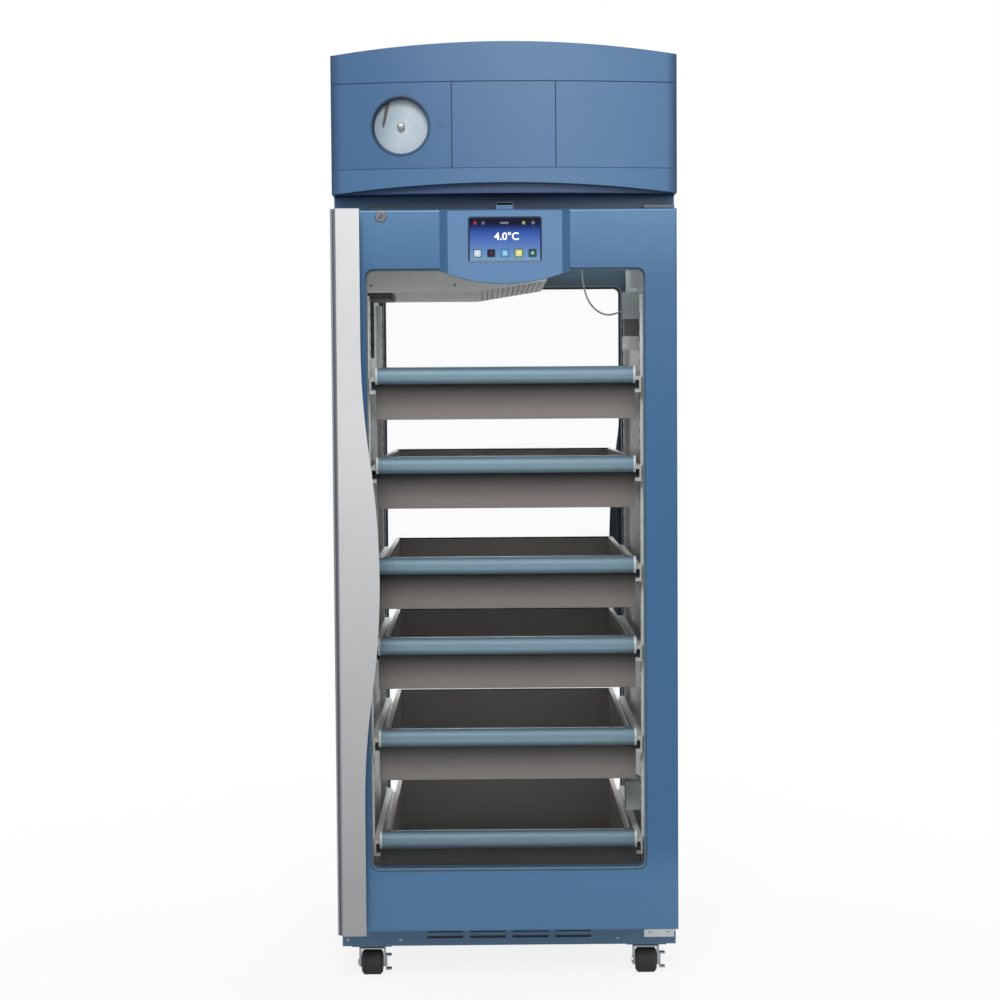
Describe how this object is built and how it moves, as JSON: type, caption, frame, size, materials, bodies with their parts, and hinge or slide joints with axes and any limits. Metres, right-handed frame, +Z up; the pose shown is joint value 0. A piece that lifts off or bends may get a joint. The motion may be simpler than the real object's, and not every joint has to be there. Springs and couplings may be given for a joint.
{
  "type": "blood bank refrigerator",
  "caption": "Upright pass-through refrigerator for blood storage with glass doors, roll-out drawers, arched header with chart recorder and door display, on castors.",
  "frame": {"origin": "on the floor, under the middle of the cabinet", "axes": "-Y towards the front door with the display, +X towards that door's hinges, +Z up"},
  "size_m": [0.743, 0.902, 2.03],
  "materials": {
    "pale_enamel": "satin",
    "white_enamel": "satin",
    "blue_enamel": "satin",
    "black_enamel": "satin",
    "foam": "matte",
    "blue_plastic": "satin",
    "blue_grey_plastic": "matte",
    "grey_plastic": "satin",
    "dark_plastic": "matte",
    "light_diffuser": "matte",
    "chart_paper": "matte",
    "screen_glass": "gloss",
    "clear_glass": "gloss",
    "gasket_rubber": "matte",
    "castor_rubber": "matte",
    "lead_sheath": "matte",
    "bright_steel": "brushed",
    "drawer_steel": "brushed",
    "zinc_steel": "satin",
    "anodised_blue": "satin",
    "aluminium": "satin",
    "copper": "satin",
    "brass": "satin",
    "chrome": "polished"
  },
  "bodies": {
    "cabinet": {"outer_shell": "blue_enamel", "insulation_foam": "foam", "inner_liner": "white_enamel", "hinge_plates_and_keepers": "bright_steel", "header_fascia": "blue_plastic", "fascia_panels": "blue_plastic", "rear_header_fascia": "blue_plastic", "compartment_housing": "blue_enamel", "recorder_plate": "dark_plastic", "base_frame": "blue_enamel", "slotted_uprights": "bright_steel", "slide_rails": "bright_steel", "evaporator_cover": "bright_steel", "evaporator_coil": "aluminium", "chamber_lights": "light_diffuser", "probe_bottles": "grey_plastic", "probe_lead": "lead_sheath", "compressor": "black_enamel", "condenser": "aluminium", "refrigerant_pipes": "copper", "control_box": "pale_enamel"},
    "front_door": {"front_door_frame": "blue_enamel", "front_door_glass": "clear_glass", "front_door_gasket": "gasket_rubber", "front_door_handle": "grey_plastic", "display_housing": "blue_grey_plastic", "display_screen": "screen_glass"},
    "front_lock": {"front_door_lock": "chrome"},
    "rear_door": {"rear_door_frame": "blue_enamel", "rear_door_glass": "clear_glass", "rear_door_gasket": "gasket_rubber", "rear_door_handle": "grey_plastic"},
    "rear_lock": {"rear_door_lock": "chrome"},
    "recorder_door": {"recorder_door": "blue_plastic"},
    "chart_disc": {"chart_disc": "chart_paper"},
    "pen_arm": {"pen_arm": "brass"},
    "evaporator_fan": {"evaporator_fan": "dark_plastic"},
    "condenser_fan": {"condenser_fan": "dark_plastic"},
    "drawer_1": {"drawer_1_bin": "drawer_steel", "drawer_1_grip": "anodised_blue"},
    "drawer_2": {"drawer_2_bin": "drawer_steel", "drawer_2_grip": "anodised_blue"},
    "drawer_3": {"drawer_3_bin": "drawer_steel", "drawer_3_grip": "anodised_blue"},
    "drawer_4": {"drawer_4_bin": "drawer_steel", "drawer_4_grip": "anodised_blue"},
    "drawer_5": {"drawer_5_bin": "drawer_steel", "drawer_5_grip": "anodised_blue"},
    "drawer_6": {"drawer_6_bin": "drawer_steel", "drawer_6_grip": "anodised_blue"},
    "front_left_castor": {"front_left_castor_fork": "zinc_steel"},
    "front_left_wheel": {"front_left_castor_wheel": "castor_rubber"},
    "front_left_brake": {"front_left_brake_lever": "zinc_steel"},
    "front_right_castor": {"front_right_castor_fork": "zinc_steel"},
    "front_right_wheel": {"front_right_castor_wheel": "castor_rubber"},
    "front_right_brake": {"front_right_brake_lever": "zinc_steel"},
    "rear_left_castor": {"rear_left_castor_fork": "zinc_steel"},
    "rear_left_wheel": {"rear_left_castor_wheel": "castor_rubber"},
    "rear_right_castor": {"rear_right_castor_fork": "zinc_steel"},
    "rear_right_wheel": {"rear_right_castor_wheel": "castor_rubber"}
  },
  "joints": [
    {"name": "front_door_hinge", "type": "hinge", "parent": "cabinet", "child": "front_door", "pos_m": [0.352, -0.385, 0.9], "axis": [0, 0, 1], "range_deg": [0, 120]},
    {"name": "rear_door_hinge", "type": "hinge", "parent": "cabinet", "child": "rear_door", "pos_m": [-0.352, 0.385, 0.9], "axis": [0, 0, 1], "range_deg": [0, 120]},
    {"name": "front_lock_turn", "type": "hinge", "parent": "front_door", "child": "front_lock", "pos_m": [-0.2645, -0.413, 1.667], "axis": [0, 1, 0], "range_deg": [0, 90]},
    {"name": "rear_lock_turn", "type": "hinge", "parent": "rear_door", "child": "rear_lock", "pos_m": [0.2645, 0.413, 1.667], "axis": [0, -1, 0], "range_deg": [0, 90]},
    {"name": "recorder_door_hinge", "type": "hinge", "parent": "cabinet", "child": "recorder_door", "pos_m": [-0.3635, -0.4125, 1.856], "axis": [0, 0, -1], "range_deg": [0, 100]},
    {"name": "chart_turn", "type": "hinge", "parent": "cabinet", "child": "chart_disc", "pos_m": [-0.219, -0.4168, 1.856], "axis": [0, 1, 0], "continuous": true},
    {"name": "pen_swing", "type": "hinge", "parent": "cabinet", "child": "pen_arm", "pos_m": [-0.24, -0.419, 1.938], "axis": [0, 1, 0], "range_deg": [-16, 14]},
    {"name": "evaporator_fan_spin", "type": "hinge", "parent": "cabinet", "child": "evaporator_fan", "pos_m": [0.044, 0, 1.5895], "axis": [1, 0, 0], "continuous": true},
    {"name": "condenser_fan_spin", "type": "hinge", "parent": "cabinet", "child": "condenser_fan", "pos_m": [-0.165, 0.187, 1.83], "axis": [0, 1, 0], "continuous": true},
    {"name": "drawer_1_slide", "type": "slide", "parent": "cabinet", "child": "drawer_1", "axis": [0, -1, 0], "range_m": [0, 0.45]},
    {"name": "drawer_2_slide", "type": "slide", "parent": "cabinet", "child": "drawer_2", "axis": [0, -1, 0], "range_m": [0, 0.45]},
    {"name": "drawer_3_slide", "type": "slide", "parent": "cabinet", "child": "drawer_3", "axis": [0, -1, 0], "range_m": [0, 0.45]},
    {"name": "drawer_4_slide", "type": "slide", "parent": "cabinet", "child": "drawer_4", "axis": [0, -1, 0], "range_m": [0, 0.45]},
    {"name": "drawer_5_slide", "type": "slide", "parent": "cabinet", "child": "drawer_5", "axis": [0, -1, 0], "range_m": [0, 0.45]},
    {"name": "drawer_6_slide", "type": "slide", "parent": "cabinet", "child": "drawer_6", "axis": [0, -1, 0], "range_m": [0, 0.45]},
    {"name": "front_left_swivel", "type": "hinge", "parent": "cabinet", "child": "front_left_castor", "pos_m": [-0.304, -0.295, 0.066], "axis": [0, 0, 1], "continuous": true},
    {"name": "front_left_roll", "type": "hinge", "parent": "front_left_castor", "child": "front_left_wheel", "pos_m": [-0.304, -0.317, 0.028], "axis": [1, 0, 0], "continuous": true},
    {"name": "front_left_brake_press", "type": "hinge", "parent": "front_left_castor", "child": "front_left_brake", "pos_m": [-0.304, -0.317, 0.028], "axis": [1, 0, 0], "range_deg": [0, 20]},
    {"name": "front_right_swivel", "type": "hinge", "parent": "cabinet", "child": "front_right_castor", "pos_m": [0.304, -0.295, 0.066], "axis": [0, 0, 1], "continuous": true},
    {"name": "front_right_roll", "type": "hinge", "parent": "front_right_castor", "child": "front_right_wheel", "pos_m": [0.304, -0.317, 0.028], "axis": [1, 0, 0], "continuous": true},
    {"name": "front_right_brake_press", "type": "hinge", "parent": "front_right_castor", "child": "front_right_brake", "pos_m": [0.304, -0.317, 0.028], "axis": [1, 0, 0], "range_deg": [0, 20]},
    {"name": "rear_left_swivel", "type": "hinge", "parent": "cabinet", "child": "rear_left_castor", "pos_m": [-0.304, 0.295, 0.066], "axis": [0, 0, 1], "continuous": true},
    {"name": "rear_left_roll", "type": "hinge", "parent": "rear_left_castor", "child": "rear_left_wheel", "pos_m": [-0.304, 0.317, 0.028], "axis": [1, 0, 0], "continuous": true},
    {"name": "rear_right_swivel", "type": "hinge", "parent": "cabinet", "child": "rear_right_castor", "pos_m": [0.304, 0.295, 0.066], "axis": [0, 0, 1], "continuous": true},
    {"name": "rear_right_roll", "type": "hinge", "parent": "rear_right_castor", "child": "rear_right_wheel", "pos_m": [0.304, 0.317, 0.028], "axis": [1, 0, 0], "continuous": true}
  ],
  "couplings": [
    {"joint": "drawer_1_slide", "follows": "front_door_hinge", "m_per_rad": 0.08},
    {"joint": "drawer_2_slide", "follows": "front_door_hinge", "m_per_rad": 0.08},
    {"joint": "drawer_3_slide", "follows": "front_door_hinge", "m_per_rad": 0.08},
    {"joint": "drawer_4_slide", "follows": "front_door_hinge", "m_per_rad": 0.08},
    {"joint": "drawer_5_slide", "follows": "front_door_hinge", "m_per_rad": 0.08},
    {"joint": "drawer_6_slide", "follows": "front_door_hinge", "m_per_rad": 0.08}
  ]
}
